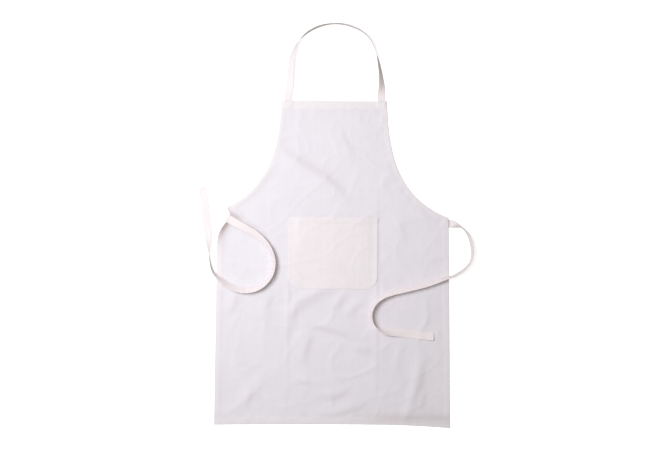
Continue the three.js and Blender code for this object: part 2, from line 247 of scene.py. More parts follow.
def roll_of_noise(x, y, size, seed):
    """Smooth noise from -1 to 1, in lumps of about `size`."""
    flat = [noise.noise((a / size, b / size, seed)) for a, b in zip(x.ravel(), y.ravel())]
    return np.array(flat).reshape(x.shape)


# Where the ends of the strap and the ties are sewn in behind the hems, and how thick they are.
TAPE_WIDTH = 0.022
TAPE = 0.0012
SEWN_ENDS = [
    np.array([(-0.126, 0.310), (-0.126, 0.318)]),
    np.array([(0.130, 0.310), (0.130, 0.318)]),
    np.array([(-0.280, -0.011), (-0.286, -0.0078)]),
    np.array([(0.308, -0.016), (0.316, -0.016)]),
]

# Each crease: the middle of its steep side, run so that this side falls to its left, then its
# height and how far it spreads on its steep and on its gentle side.
CREASES = [
    # Across the bib from the left armhole, and beside it.
    ([(-0.158, 0.236), (-0.146, 0.200), (-0.120, 0.173), (-0.080, 0.148), (-0.040, 0.125),
      (-0.003, 0.098), (0.026, 0.070), (0.056, 0.038), (0.074, 0.010)], 0.0048, 0.017, 0.040),
    ([(0.016, 0.262), (0.028, 0.222), (0.044, 0.195), (0.052, 0.168), (0.048, 0.132)],
     0.0016, 0.010, 0.024),
    ([(-0.150, 0.139), (-0.178, 0.120), (-0.203, 0.092), (-0.245, 0.058)], 0.0020, 0.012, 0.010),
    # Round the foot of the pocket.
    ([(0.040, -0.201), (0.008, -0.204), (-0.030, -0.213), (-0.060, -0.227), (-0.090, -0.243),
      (-0.104, -0.268), (-0.108, -0.295), (-0.120, -0.322), (-0.150, -0.350)], 0.0040, 0.015, 0.018),
    ([(0.042, -0.205), (0.030, -0.222), (0.018, -0.244), (0.006, -0.268)], 0.0022, 0.011, 0.014),
    ([(0.094, -0.230), (0.064, -0.252), (0.046, -0.274), (0.036, -0.290)], 0.0020, 0.011, 0.013),
    # Down the middle of the skirt.
    ([(0.085, -0.352), (0.062, -0.341), (0.034, -0.326), (0.000, -0.314), (-0.035, -0.304),
      (-0.062, -0.300), (-0.100, -0.302)], 0.0028, 0.011, 0.022),
    ([(-0.048, -0.312), (-0.056, -0.332), (-0.067, -0.354), (-0.073, -0.384), (-0.078, -0.422)],
     0.0028, 0.012, 0.022),
    ([(0.122, -0.366), (0.094, -0.369), (0.066, -0.364), (0.040, -0.352)], 0.0022, 0.014, 0.014),
    ([(-0.060, -0.460), (-0.085, -0.453), (-0.112, -0.440)], 0.0018, 0.009, 0.012),
    ([(0.056, -0.462), (0.040, -0.480), (0.016, -0.493), (-0.014, -0.498), (-0.054, -0.484)],
     0.0024, 0.013, 0.016),
    ([(0.104, -0.500), (0.072, -0.524), (0.030, -0.540), (-0.012, -0.547), (-0.064, -0.545)],
     0.0026, 0.012, 0.018),
    # Left and right of it.
    ([(-0.258, -0.205), (-0.268, -0.240), (-0.284, -0.282)], 0.0024, 0.012, 0.014),
    ([(-0.166, -0.205), (-0.176, -0.245), (-0.194, -0.300)], 0.0022, 0.011, 0.016),
    ([(-0.120, -0.196), (-0.116, -0.220), (-0.120, -0.246)], 0.0014, 0.006, 0.008),
    ([(-0.206, -0.440), (-0.222, -0.490), (-0.234, -0.522), (-0.240, -0.552)], 0.0026, 0.011, 0.016),
    ([(-0.180, -0.420), (-0.196, -0.470), (-0.205, -0.520)], 0.0016, 0.016, 0.008),
    ([(0.256, -0.345), (0.252, -0.400), (0.243, -0.455), (0.230, -0.505), (0.217, -0.555),
      (0.205, -0.605)], 0.0042, 0.017, 0.015),
    ([(0.262, -0.470), (0.254, -0.500), (0.240, -0.540)], 0.0020, 0.011, 0.010),
    ([(0.196, -0.330), (0.190, -0.380), (0.176, -0.450)], 0.0014, 0.012, 0.012),
    # Where the left tie draws the edge up.
    ([(-0.262, 0.048), (-0.277, 0.010), (-0.291, -0.020), (-0.302, -0.045), (-0.308, -0.076),
      (-0.309, -0.130)], 0.0055, 0.015, 0.012),
    # Beside the right armhole and over the right of the skirt.
    ([(0.176, 0.128), (0.150, 0.100), (0.140, 0.060)], 0.0016, 0.016, 0.010),
    ([(0.200, 0.030), (0.190, -0.040), (0.205, -0.110)], 0.0012, 0.018, 0.018),
    # The folds that pressing left, down both sides of the pocket to the hem.
    ([(-0.121, 0.120), (-0.121, 0.000), (-0.121, -0.560)], 0.0006, 0.004, 0.006),
    ([(0.124, 0.130), (0.124, -0.100), (0.124, -0.555)], 0.0011, 0.004, 0.008),
]
STEEPEST = 0.32


def creased(x, y):
    """How high the creases stand off the table at each point, and how steep they are, to 1."""
    height = np.zeros(x.shape)
    steepness = np.zeros(x.shape)
    for points, top, steep, gentle in CREASES:
        off, along = off_line(smooth_line(points, 6), x, y)
        fade = ramp(along, 0, 0.35) * (1 - ramp(along, 0.55, 1))
        steepness += top / steep / STEEPEST * fade * np.exp(-((off / (0.75 * steep)) ** 2))
        off = off + 0.7 * steep
        height += top * fade * np.exp(-((off / np.where(off > 0, steep, gentle)) ** 2))
    return height, np.minimum(steepness, 1)


# How handling left the rest: long faint wrinkles that run every way, and softer lumps.
WRINKLES = [(0.085, 23, 0.0008), (0.050, 29, 0.0005), (0.130, 31, 0.0010)]

# The puckers that each hem's row of stitching draws up: how far apart, how far in, how high.
PUCKERS = {
    "top": (0.018, 0.026, 0.0008), "bottom": (0.020, 0.018, 0.0007),
    "left_side": (0.026, 0.012, 0.0004), "right_side": (0.020, 0.016, 0.0006),
    "left_armhole": (0.013, 0.012, 0.0005), "right_armhole": (0.010, 0.015, 0.0010),
}


def cloth_lay(x, y):
    """The underside of the upper layer of cloth at each point, how far it is from an edge, and
    how much painted shade goes on the rows of stitching and beside each hem's inner side."""
    height = 0.0005 * (1 + roll_of_noise(x, y, 0.11, 3)) + creased(x, y)[0]
    height += 0.00025 * (1 + roll_of_noise(x, y, 0.025, 5))
    for size, seed, top in WRINKLES:
        height += top * np.clip(1 - 6 * np.abs(roll_of_noise(x, y, size, seed)), 0, 1) ** 2
    nearest = np.full(x.shape, 9.0)
    painted_shade_marks = np.zeros(x.shape)
    for name, line in EDGES.items():
        inside, along = off_line(line, x, y)
        inside = np.abs(inside)
        width = HEM_WIDTHS[name]
        raised = 1 - ramp(inside, width - 0.002, width + 0.004)
        row = np.exp(-(((inside - width + ROW_INSET) / ROW_WIDTH) ** 2))
        length = np.hypot(*np.diff(line, axis=0).T).sum()
        apart, reach, top = PUCKERS[name]
        pucker = roll_of_noise(along * length, inside * 0.3, apart, len(name))
        near = np.exp(-(((inside - width) / np.where(inside > width, reach, 0.6 * width)) ** 2))
        height = np.maximum(height, (HEM - CLOTH) * raised + height * (1 - 0.6 * raised))
        height += top * near * (0.4 + pucker) - ROW_DEPTH * row
        nearest = np.minimum(nearest, inside)
        painted_hem_shade = ramp(inside, width, width + 0.003) * np.exp(-(((inside - width) / reach) ** 2))
        # Painted shade: a thin line on each row of stitching, and a band beside the hem's inner
        # side, broken by the puckers.
        painted_shade_marks = np.maximum(painted_shade_marks, np.maximum(0.5 * row, painted_hem_shade * (0.35 - 0.8 * pucker)))
    for line in SEWN_ENDS:
        off = np.abs(off_line(line, x, y)[0])
        height += TAPE * (1 - ramp(off, 0.45 * TAPE_WIDTH, 0.68 * TAPE_WIDTH))
    return height, nearest, painted_shade_marks


def spaced(start, end, step, fine):
    """Places from start to end about `step` apart, with the `fine` ones off each end."""
    count = round((end - start - 2 * fine[-1]) / step) + 1
    middle = np.linspace(start + fine[-1], end - fine[-1], count)
    return np.concatenate([start + np.array(fine[:-1]), middle, end - np.array(fine[-2::-1])])


# The foot is bowed over its lowest FOOT_REACH. The cloth rounds off towards its edge over
# EDGE_ROUND, by EDGE_FALL.
FOOT_REACH = 0.12
EDGE_ROUND = 0.0016
EDGE_FALL = 0.0011
EDGE_COLUMNS = (0, 0.0006, 0.0015, 0.003, 0.005, 0.0075, 0.0105, 0.0135, 0.017, 0.021)
GRID = 0.0042


def cloth_grid():
    """The places of the cloth's grid, row by row from the foot to the top of the bib."""
    rows = spaced(SKIRT_FOOT, BIB_TOP, GRID, EDGE_COLUMNS)
    left = np.vstack([EDGES["left_armhole"], EDGES["left_side"][1:]])[::-1]
    right = np.vstack([EDGES["right_side"], EDGES["right_armhole"][1:]])
    left_x = np.interp(rows, left[:, 1], left[:, 0])
    right_x = np.interp(rows, right[:, 1], right[:, 0])
    columns = spaced(-SKIRT, SKIRT, GRID, EDGE_COLUMNS)
    inset = np.minimum(columns + SKIRT, SKIRT - columns)
    fine = EDGE_COLUMNS[-1]
    x = np.empty((len(rows), len(columns)))
    for i, (start, end) in enumerate(zip(left_x, right_x)):
        squeeze = (end - start - 2 * fine) / (2 * SKIRT - 2 * fine)
        x[i] = start + fine + (columns + SKIRT - fine) * squeeze
        x[i] = np.where(inset < fine, np.where(columns < 0, start + inset, end - inset), x[i])
    y = np.repeat(rows[:, None], len(columns), 1)
    foot = np.interp(x[0], *EDGES["bottom"].T)
    return x, y + (foot - SKIRT_FOOT) * (1 - ramp(y, SKIRT_FOOT, SKIRT_FOOT + FOOT_REACH))


def grid_piece(name, x, y, z, thickness):
    """A sheet of cloth over a grid of places, with its flat size as its UV map."""
    count_y, count_x = x.shape
    build = bmesh.new()
    bmesh.ops.create_grid(build, x_segments=count_x - 1, y_segments=count_y - 1, size=1)
    sheet = build.loops.layers.uv.new("cloth")
    for vertex, place in zip(build.verts, zip(x.ravel(), y.ravel(), z.ravel())):
        vertex.co = place
    for face in build.faces:
        for loop in face.loops:
            loop[sheet].uv = loop.vert.co.xy
    bmesh.ops.solidify(build, geom=build.faces[:], thickness=-thickness)
    return finished(build, name)


x, y = cloth_grid()
under, from_edge, _ = cloth_lay(x, y)
upper = under + CLOTH
fall = 1 - np.sqrt(np.clip(from_edge / EDGE_ROUND, 0, 1))
body_cloth = grid_piece("body_cloth", x, y, upper - EDGE_FALL * fall**2, CLOTH)
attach(body_cloth, "apron")
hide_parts("body_panel")


class Shade:
    """One value in a material. A sum on it adds a Math node."""

    def __init__(self, finish, socket):
        self.finish = finish
        self.socket = socket

    def reckon(self, operation, *values):
        return self.finish.node("Math", {"operation": operation}, dict(enumerate(values)))

    def __add__(self, other):
        return self.reckon("ADD", self, other)

    def __mul__(self, other):
        return self.reckon("MULTIPLY", self, other)

    def __sub__(self, other):
        return self.reckon("SUBTRACT", self, other)

    def __rsub__(self, other):
        return self.reckon("SUBTRACT", other, self)

    def __pow__(self, other):
        return self.reckon("POWER", self, other)

    __radd__ = __add__
    __rmul__ = __mul__

    def cosine(self):
        return self.reckon("COSINE", self)


class Finish:
    """A material in the making. `node` adds a node of any kind and gives one of its outputs."""

    def __init__(self, name):
        self.material, self.shader = own_material(name)
        self.tree = self.material.node_tree

    def node(self, kind, settings, values, out=0):
        made = self.tree.nodes.new("ShaderNode" + kind)
        for name, value in settings.items():
            setattr(made, name, value)
        for name, value in values.items():
            self.put(made.inputs[name], value)
        return Shade(self, made.outputs[out])

    def put(self, socket, value):
        if isinstance(value, Shade):
            self.tree.links.new(value.socket, socket)
        else:
            socket.default_value = value

    def mixed(self, share, first, second):
        """A colour between two."""
        return self.node("Mix", {"data_type": "RGBA"}, {0: share, 6: first, 7: second}, out=2)


COOL_COTTON = (0.820, 0.780, 0.822, 1)
WARM_COTTON = (0.866, 0.806, 0.824, 1)
BLEACHED_COTTON = (0.893, 0.814, 0.820, 1)
THREAD_PITCH = 0.00062
# How strong the painted crease shade is, and the brown that all painted shade darkens towards.
PAINTED_CREASE_SHADE = 0.065
PAINTED_SHADE_COLOUR = (0.24, 0.13, 0.09, 1)


def cotton(name, thin_colour, thick_colour):
    """Plain-weave cotton: warp and weft by turns on top, with thicker and thinner threads.
    `layers` runs from 0, where one layer lies on the table, to 1, where there are several.
    `painted_shade` is how much painted shade darkens the colour: of a crease, a hem or a hollow."""
    finish = Finish(name)
    place = finish.node("UVMap", {"uv_map": "cloth"}, {})
    waver = finish.node("TexNoise", {}, {"Vector": place, "Scale": 240, "Detail": 1})
    across = finish.node("SeparateXYZ", {}, {0: place})
    along = finish.node("SeparateXYZ", {}, {0: place}, out=1)
    turn = math.pi / THREAD_PITCH
    warp = (across * turn + waver * 1.4).cosine()
    weft = (along * turn + waver * 1.4).cosine()
    over = 0.5 + 0.5 * (warp * weft)
    weave = over * warp**2 + (1 - over) * weft**2

    def slubs(stretch):
        drawn = finish.node("Mapping", {}, {"Vector": place, "Scale": stretch})
        return finish.node("TexNoise", {}, {"Vector": drawn, "Scale": 1, "Detail": 3})

    warp_slubs = slubs((1500, 90, 1))
    weft_slubs = slubs((90, 1500, 1))
    crumpled = {"Vector": place, "Scale": 130, "Detail": 4, "Roughness": 0.6}
    crumple = finish.node("TexNoise", {}, crumpled)
    cloud = finish.node("TexNoise", {}, {"Vector": place, "Scale": 14, "Detail": 2})

    layers = finish.node("Attribute", {"attribute_name": "layers"}, {}, out="Fac")
    base = finish.mixed(layers, thin_colour, thick_colour)
    streaks = slubs((260, 9, 1))
    broad_streaks = slubs((70, 3, 1))
    uneven = 0.12 * warp_slubs + 0.10 * weft_slubs + 0.10 * (1 - weave) + 0.25 * cloud
    uneven = uneven + 0.16 * streaks + 0.22 * broad_streaks - 0.32
    soft = finish.mixed(0.2, base, (0, 0, 0, 1))
    # Painted shade: where the points note it, the colour darkens towards a brown shade.
    painted_shade = finish.node("Attribute", {"attribute_name": "painted_shade"}, {}, out="Fac")
    colour = finish.mixed(painted_shade, finish.mixed(uneven, base, soft), PAINTED_SHADE_COLOUR)
    finish.put(finish.shader.inputs["Base Color"], colour)
    finish.put(finish.shader.inputs["Roughness"], 0.86 + 0.08 * weave)
    finish.shader.inputs["Specular IOR Level"].default_value = 0.25
    finish.shader.inputs["Sheen Weight"].default_value = 0.12
    finish.shader.inputs["Sheen Roughness"].default_value = 0.5

    relief = weave + 0.5 * warp_slubs + 0.5 * weft_slubs
    woven = {"Height": relief, "Distance": 0.00010, "Strength": 0.5}
    threads = finish.node("Bump", {}, woven)
    dented = {"Height": crumple, "Distance": 0.0012, "Strength": 0.35, "Normal": threads}
    dents = finish.node("Bump", {}, dented)
    finish.put(finish.shader.inputs["Normal"], dents)
    return finish.material


def noted(piece, name, shares):
    """Notes a value from 0 to 1 on each point of a piece, for its material."""
    attribute = piece.data.attributes.new(name, "FLOAT", "POINT")
    attribute.data.foreach_set("value", shares.astype(np.float32))


cloth_finish = cotton("natural cotton", COOL_COTTON, WARM_COTTON)
tape_finish = cotton("bleached cotton", WARM_COTTON, BLEACHED_COTTON)
body_cloth.data.materials.append(cloth_finish)


# How much of the warmer tone of doubled cloth shows over each hem.
HEM_WARMTH = {
    "top": 0.85, "bottom": 0.35, "left_side": 0.55, "right_side": 0.4,
    "left_armhole": 0.9, "right_armhole": 0.7,
}
HEM_BLUR = 0.001


def hemmed_share(x, y):
    """How much warmer the cloth is over each hem, and 0 off them."""
    share = np.zeros(x.shape)
    for name, line in EDGES.items():
        inside = np.abs(off_line(line, x, y)[0])
        over = 1 - ramp(inside, HEM_WIDTHS[name] - HEM_BLUR, HEM_WIDTHS[name] + HEM_BLUR)
        share = np.maximum(share, HEM_WARMTH[name] * over)
    return share


def places_of(piece):
    """The places of a piece's points, as x, y and z."""
    places = np.empty(3 * len(piece.data.vertices), np.float32)
    piece.data.vertices.foreach_get("co", places)
    return places.reshape(-1, 3).T.astype(float)


cloth_x, cloth_y, _ = places_of(body_cloth)
noted(body_cloth, "layers", hemmed_share(cloth_x, cloth_y))
# Painted shade: darker colour on the steep side of each crease, on each row of hem stitching and
# beside each hem.
painted_shade_marks = PAINTED_CREASE_SHADE * np.maximum(creased(cloth_x, cloth_y)[1], cloth_lay(cloth_x, cloth_y)[2])


# Painted shade where the left tie pulls on its seam and the cloth hollows, beside the tie and inside
# the edge. Each band: a line along its darkest place, how dark it is, how far it spreads, and from
# where along the line it fades.
PAINTED_HOLLOW_SHADES = [
    ([(-0.298, 0.027), (-0.290, 0.016), (-0.284, 0.008), (-0.262, -0.003), (-0.236, -0.018)],
     0.36, 0.0075, 0.45),
    ([(-0.236, -0.018), (-0.212, -0.033), (-0.190, -0.052), (-0.172, -0.080)], 0.14, 0.007, 0.6),
    ([(-0.2905, -0.010), (-0.298, -0.022), (-0.308, -0.040), (-0.316, -0.062), (-0.320, -0.090)],
     0.70, 0.0105, 0.1),
    ([(-0.290, -0.016), (-0.262, -0.030), (-0.230, -0.046), (-0.198, -0.070)], 0.12, 0.005, 0.6),
    # And painted shade along the right of the bottom hem, which curls a little.
    ([(0.318, -0.552), (0.200, -0.5515), (0.110, -0.552), (0.030, -0.556)], 0.17, 0.013, 0.5),
]

for points, dark, spread, fading in PAINTED_HOLLOW_SHADES:
    off, along = off_line(smooth_line(points, 6), cloth_x, cloth_y)
    painted_shade_marks = np.maximum(painted_shade_marks, dark * (1 - ramp(along, fading, 1)) * np.exp(-((off / spread) ** 2)))
noted(body_cloth, "painted_shade", painted_shade_marks)


# Each hem is the cloth's own edge, turned under twice and pressed: a flat double band of cloth
# behind the edge, held by one row of stitching close to its inner side.
BAND = 0.0015
BAND_INSET = 0.0004
BAND_STEP = 0.006
BAND_SECTION = [
    (0, 0.5), (0.02, 0.85), (0.06, 1), (0.5, 0.95), (0.94, 1), (0.98, 0.85),
    (1, 0.5), (0.98, 0.15), (0.94, 0), (0.5, 0), (0.06, 0), (0.02, 0.15),
]


def evenly(line, step, trim=(0, 0)):
    """Points evenly spaced along a line, and the directions there, from `trim` inside its ends."""
    lengths = np.concatenate([[0], np.cumsum(np.linalg.norm(np.diff(line, axis=0), axis=1))])
    count = max(2, round((lengths[-1] - sum(trim)) / step) + 1)
    at = np.linspace(trim[0], lengths[-1] - trim[1], count)
    points = np.stack([np.interp(at, lengths, axis) for axis in line.T], 1)
    directions = np.gradient(points, axis=0)
    return points, directions / np.linalg.norm(directions, axis=1)[:, None], at


def wrapped_piece(name, rings, lengths):
    """A closed piece through rings of points, with its flat size as its UV map."""
    count, around = rings.shape[:2]
    build = bmesh.new()
    bmesh.ops.create_grid(build, x_segments=around, y_segments=count - 1, size=1)
    build.verts.index_update()
    sheet = build.loops.layers.uv.new("cloth")
    girth = np.linalg.norm(np.diff(rings[0], axis=0, append=rings[0][:1]), axis=1)
    reach = np.concatenate([[0], np.cumsum(girth)])
    closed = np.concatenate([rings, rings[:, :1]], axis=1).reshape(-1, 3)
    for face in build.faces:
        for loop in face.loops:
            ring, spot = divmod(loop.vert.index, around + 1)
            loop[sheet].uv = reach[spot], lengths[ring]
    for vertex in build.verts:
        vertex.co = closed[vertex.index]
    bmesh.ops.remove_doubles(build, verts=build.verts, dist=1e-6)
    bmesh.ops.holes_fill(build, edges=[edge for edge in build.edges if edge.is_boundary])
    return finished(build, name)


def inward(points, directions, inset):
    """Points moved to the left of their directions."""
    return points + inset * np.stack([-directions[:, 1], directions[:, 0]], 1)


BAND_TRIMS = {
    "right_side": (0.0185, 0), "left_side": (0, 0.0185),
    "right_armhole": (0.015, 0.0225), "left_armhole": (0.0225, 0.015),
}

for edge, line in EDGES.items():
    points, directions, lengths = evenly(line, BAND_STEP, BAND_TRIMS.get(edge, (0.001, 0.001)))
    insets = [BAND_INSET + share * (HEM_WIDTHS[edge] - BAND_INSET) for share, _ in BAND_SECTION]
    section = [inward(points, directions, inset) for inset in insets]
    band_x, band_y = np.array(section).transpose(2, 1, 0)
    under = cloth_lay(band_x, band_y)[0]
    rise = np.array([rise for _, rise in BAND_SECTION])
    rings = np.stack([band_x, band_y, np.maximum(under - (1 - rise) * BAND, 0)], 2)
    band = wrapped_piece(edge + "_hem_turned_under", rings, lengths)
    band.data.materials.append(cloth_finish)
    noted(band, "layers", np.ones(len(band.data.vertices)))
    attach(band, "apron")
    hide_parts(edge + "_hem")


# Sewing thread: spun cotton, a shade warmer than the cloth, in stitches that sink a little
# into it. Each stitch is a short spindle that dips at both ends.
STITCH_LENGTH = 0.0029
STITCH_PITCH = 0.0034
THREAD_WIDTH = 0.00065
THREAD_LIGHT = (0.84, 0.80, 0.77, 1)
THREAD_DARK = (0.72, 0.68, 0.66, 1)

thread_finish = Finish("cotton thread")
place = thread_finish.node("TexCoord", {}, {}, out="Object")
ply = thread_finish.node("TexNoise", {}, {"Vector": place, "Scale": 2600, "Detail": 2})
spun = thread_finish.mixed(ply, THREAD_LIGHT, THREAD_DARK)
thread_finish.put(thread_finish.shader.inputs["Base Color"], spun)
twist = thread_finish.node("Bump", {}, {"Height": ply, "Distance": 0.00008, "Strength": 0.6})
thread_finish.put(thread_finish.shader.inputs["Normal"], twist)
thread_finish.shader.inputs["Roughness"].default_value = 0.8


def stitches(name, points, directions, normals, length=STITCH_LENGTH, width=THREAD_WIDTH):
    """A row of stitches, one at each point: one small spindle, copied and set along the row."""
    build = bmesh.new()
    bmesh.ops.create_uvsphere(build, u_segments=6, v_segments=4, radius=1)
    spindle = bpy.data.meshes.new(name + "_one")
    build.to_mesh(spindle)
    for _ in range(len(points) - 1):
        build.from_mesh(spindle)
    row = finished(build, name)
    spots = places_of(row).T.reshape(len(points), -1, 3)
    ahead = directions / np.linalg.norm(directions, axis=1)[:, None]
    side = np.cross(normals, ahead)
    side /= np.linalg.norm(side, axis=1)[:, None]
    axes = np.stack([side * width / 2, np.cross(ahead, side) * width / 2, ahead * length / 2], 1)
    row.data.vertices.foreach_set("co", (spots @ axes + points[:, None]).ravel())
    bpy.data.meshes.remove(spindle)
    row.data.materials.append(thread_finish.material)
    return row


def flat_row(name, line, lay, node, trim=(0, 0)):
    """A row of stitches that follows a line over a cloth whose upper face is at lay(x, y)."""
    points, _, _ = evenly(line, STITCH_PITCH, trim)
    height = lay(points[:, 0], points[:, 1]) + 0.15 * THREAD_WIDTH
    places = np.column_stack([points, height])
    upright = np.tile((0.0, 0.0, 1.0), (len(places), 1))
    row = stitches(name, places, np.gradient(places, axis=0), upright)
    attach(row, "apron")
    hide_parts(node)


def cloth_face(x, y):
    return cloth_lay(x, y)[0] + CLOTH


for edge, line in EDGES.items():
    points, directions, _ = evenly(line, 0.004)
    inset = HEM_WIDTHS[edge] - ROW_INSET
    trim = (0.004, 0.004) if edge in ("top", "bottom") else (0.012, 0.012)
    line = inward(points, directions, inset)
    flat_row(edge + "_stitches", line, cloth_face, edge + "_stitching", trim)


# The patch pocket is its own cut of the same cotton, its seam turned under and topstitched
# close to the edge. Its mouth is turned in and sewn, and stands a little off the panel.
low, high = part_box("pocket_panel")
POCKET = high.x
POCKET_FOOT = low.y
POCKET_CORNER = 0.035
POCKET_HEM = 0.018
POCKET_RISE = 0.0036
POCKET_EASE = (0.004, 0.03)
POCKET_SEAM = 0.0011
POCKET_FALL = 0.0012
POCKET_GRID = 0.0034


def pocket_half(y):
    """Half the pocket's width at each height."""
    drop = np.clip(POCKET_FOOT + POCKET_CORNER - y, 0, POCKET_CORNER)
    return POCKET - POCKET_CORNER + np.sqrt(POCKET_CORNER**2 - drop**2)


def pocket_outline(inset):
    """The pocket's seam line, from its mouth down, round the foot and up again."""
    radius = POCKET_CORNER - inset
    turn = np.linspace(0, math.pi / 2, 13)
    centre_x, centre_y = POCKET - POCKET_CORNER, POCKET_FOOT + POCKET_CORNER
    left = np.column_stack([-centre_x - radius * np.cos(turn), centre_y - radius * np.sin(turn)])
    right = left[::-1] * (-1, 1)
    return np.vstack([(-POCKET + inset, -inset), left, right, (POCKET - inset, -inset)])


def pocket_face(x, y):
    """The upper face of the pocket cloth."""
    off = np.abs(off_line(pocket_outline(0), x, y)[0])
    height = cloth_lay(x, np.minimum(y, 0))[0] + CLOTH + POCKET_SEAM + CLOTH
    open_share = ramp(y, POCKET_FOOT + 0.01, 0.01) * (1 - (np.abs(x) / POCKET) ** 4)
    height += POCKET_RISE * open_share * ramp(off, *POCKET_EASE)
    height += 0.0006 * roll_of_noise(x, y, 0.05, 11) * ramp(off, *POCKET_EASE)
    hem = ramp(y, -POCKET_HEM - 0.002, -POCKET_HEM + 0.002)
    row = np.exp(-(((y + POCKET_HEM - ROW_INSET) / ROW_WIDTH) ** 2))
    seam = np.exp(-(((off - ROW_INSET) / 0.0012) ** 2))
    pucker = roll_of_noise(x, y * 0.2, 0.009, 13) * np.exp(-(((y + POCKET_HEM) / 0.010) ** 2))
    pucker += roll_of_noise(x, y, 0.009, 17) * np.exp(-((off / 0.010) ** 2))
    height += 0.0005 * hem + 0.0003 * pucker - ROW_DEPTH * row - 0.0003 * seam
    return height, off


rows = spaced(POCKET_FOOT, 0, POCKET_GRID, EDGE_COLUMNS[:6])
share = spaced(-1, 1, POCKET_GRID / POCKET, [column / POCKET for column in EDGE_COLUMNS[:6]])
pocket_y = np.repeat(rows[:, None], len(share), 1)
pocket_x = pocket_half(pocket_y) * share
height, off = pocket_face(pocket_x, pocket_y)
height -= POCKET_FALL * (1 - np.sqrt(np.clip(off / EDGE_ROUND, 0, 1))) ** 2
pocket_cloth = grid_piece("pocket_cloth", pocket_x, pocket_y, height, CLOTH)
pocket_cloth.data.materials.append(cloth_finish)
noted(pocket_cloth, "layers", np.full(len(pocket_cloth.data.vertices), 1.1))
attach(pocket_cloth, "apron")
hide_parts("pocket_panel")

MOUTH_INSET = 0.0006
MOUTH_TRIM = 0.003

mouth = np.array([(-POCKET + MOUTH_TRIM, 0), (POCKET - MOUTH_TRIM, 0)])
points, directions, lengths = evenly(mouth, 0.004)
insets = [MOUTH_INSET + share * (POCKET_HEM - 0.001) for share, _ in BAND_SECTION]
section = [inward(points, directions, -inset) for inset in insets]
band_x, band_y = np.array(section).transpose(2, 1, 0)
rise = np.array([rise for _, rise in BAND_SECTION])
band_z = pocket_face(band_x, band_y)[0].min(axis=1)[:, None] - CLOTH - 0.0011 + rise * 0.001
pocket_band = wrapped_piece("pocket_hem_turned_in", np.stack([band_x, band_y, band_z], 2), lengths)
pocket_band.data.materials.append(cloth_finish)
noted(pocket_band, "layers", np.ones(len(pocket_band.data.vertices)))
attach(pocket_band, "apron")
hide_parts("pocket_hem")


def pocket_top(x, y):
    return pocket_face(x, y)[0]


seam_row = pocket_outline(ROW_INSET)
flat_row("pocket_seam_stitches", seam_row, pocket_top, "pocket_seam_stitching", (0.003, 0.003))
row_y = -POCKET_HEM + ROW_INSET
hem_row = np.array([(-POCKET + 0.004, row_y), (POCKET - 0.004, row_y)])
flat_row("pocket_hem_stitches", hem_row, pocket_top, "pocket_hem_stitching")


# A bartack at each corner of the mouth: some twenty stitches side by side, which keep the
# pocket from tearing off where hands pull at it.
TACK_LENGTH = 0.011
TACK_WIDTH = 0.0019
TACK_STITCHES = 22
TACK_INSET = 0.0024
TACK_LEAN = 0.16
TACK_THREAD = 0.00055

for side, sign in (("left", -1), ("right", 1)):
    tack_y = np.linspace(-0.001, -0.001 - TACK_LENGTH, TACK_STITCHES)
    tack_x = np.full(tack_y.shape, sign * (POCKET - TACK_INSET))
    tack_z = pocket_top(tack_x, tack_y) + 0.0002
    places = np.column_stack([tack_x, tack_y, tack_z])
    lean = np.where(np.arange(TACK_STITCHES) % 2, TACK_LEAN, -TACK_LEAN)
    ways = np.column_stack([np.ones(len(lean)), lean, np.zeros(len(lean))])
    upright = np.tile((0.0, 0.0, 1.0), (len(places), 1))
    tack = stitches("bartack_" + side, places, ways, upright, TACK_WIDTH, TACK_THREAD)
    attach(tack, "apron")
    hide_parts("pocket_bartack_" + side)


# The neck strap and the ties are strips of the same cotton, folded into a flat tape and closed
# by a row of stitching. A route is a list of places on it: x, y, what it lies on, and how many
# degrees its left edge is turned up, where 90 stands it on edge and 180 lays it face down.
ON_TABLE = 0.0002
ON_CLOTH = 0.0011
ON_HEM = 0.0033
ARCH = 0.002
CLEARANCE = 0.0005
OVERHANG = 0.004
ROUTE_STEPS = 10
TAPE_STEP = 0.0016
TAPE_ROW = 0.74
TAPE_SECTION = [
    (-1, 0), (-0.99, 0.55), (-0.95, 0.95), (-0.82, 1), (-TAPE_ROW, 0.62), (-0.66, 1), (-0.3, 0.92),
    (0.1, 0.88), (0.5, 0.92), (0.82, 1), (0.95, 0.95), (0.99, 0.55), (1, 0), (0.99, -0.55),
    (0.95, -0.95), (0.82, -1), (0.5, -0.92), (0.1, -0.88), (-0.3, -0.92), (-0.66, -1),
    (-TAPE_ROW, -0.62), (-0.82, -1), (-0.95, -0.95), (-0.99, -0.55),
]
TURNED_END = 0.009
# The tape's own small twist: how many degrees, and how far apart along it.
TWIST = 3
TWIST_LUMP = 0.06


def inside_outline(x, y):
    """How far each point is inside the apron's outline, negative outside it."""
    return off_line(np.vstack(list(EDGES.values())), x, y)[0]


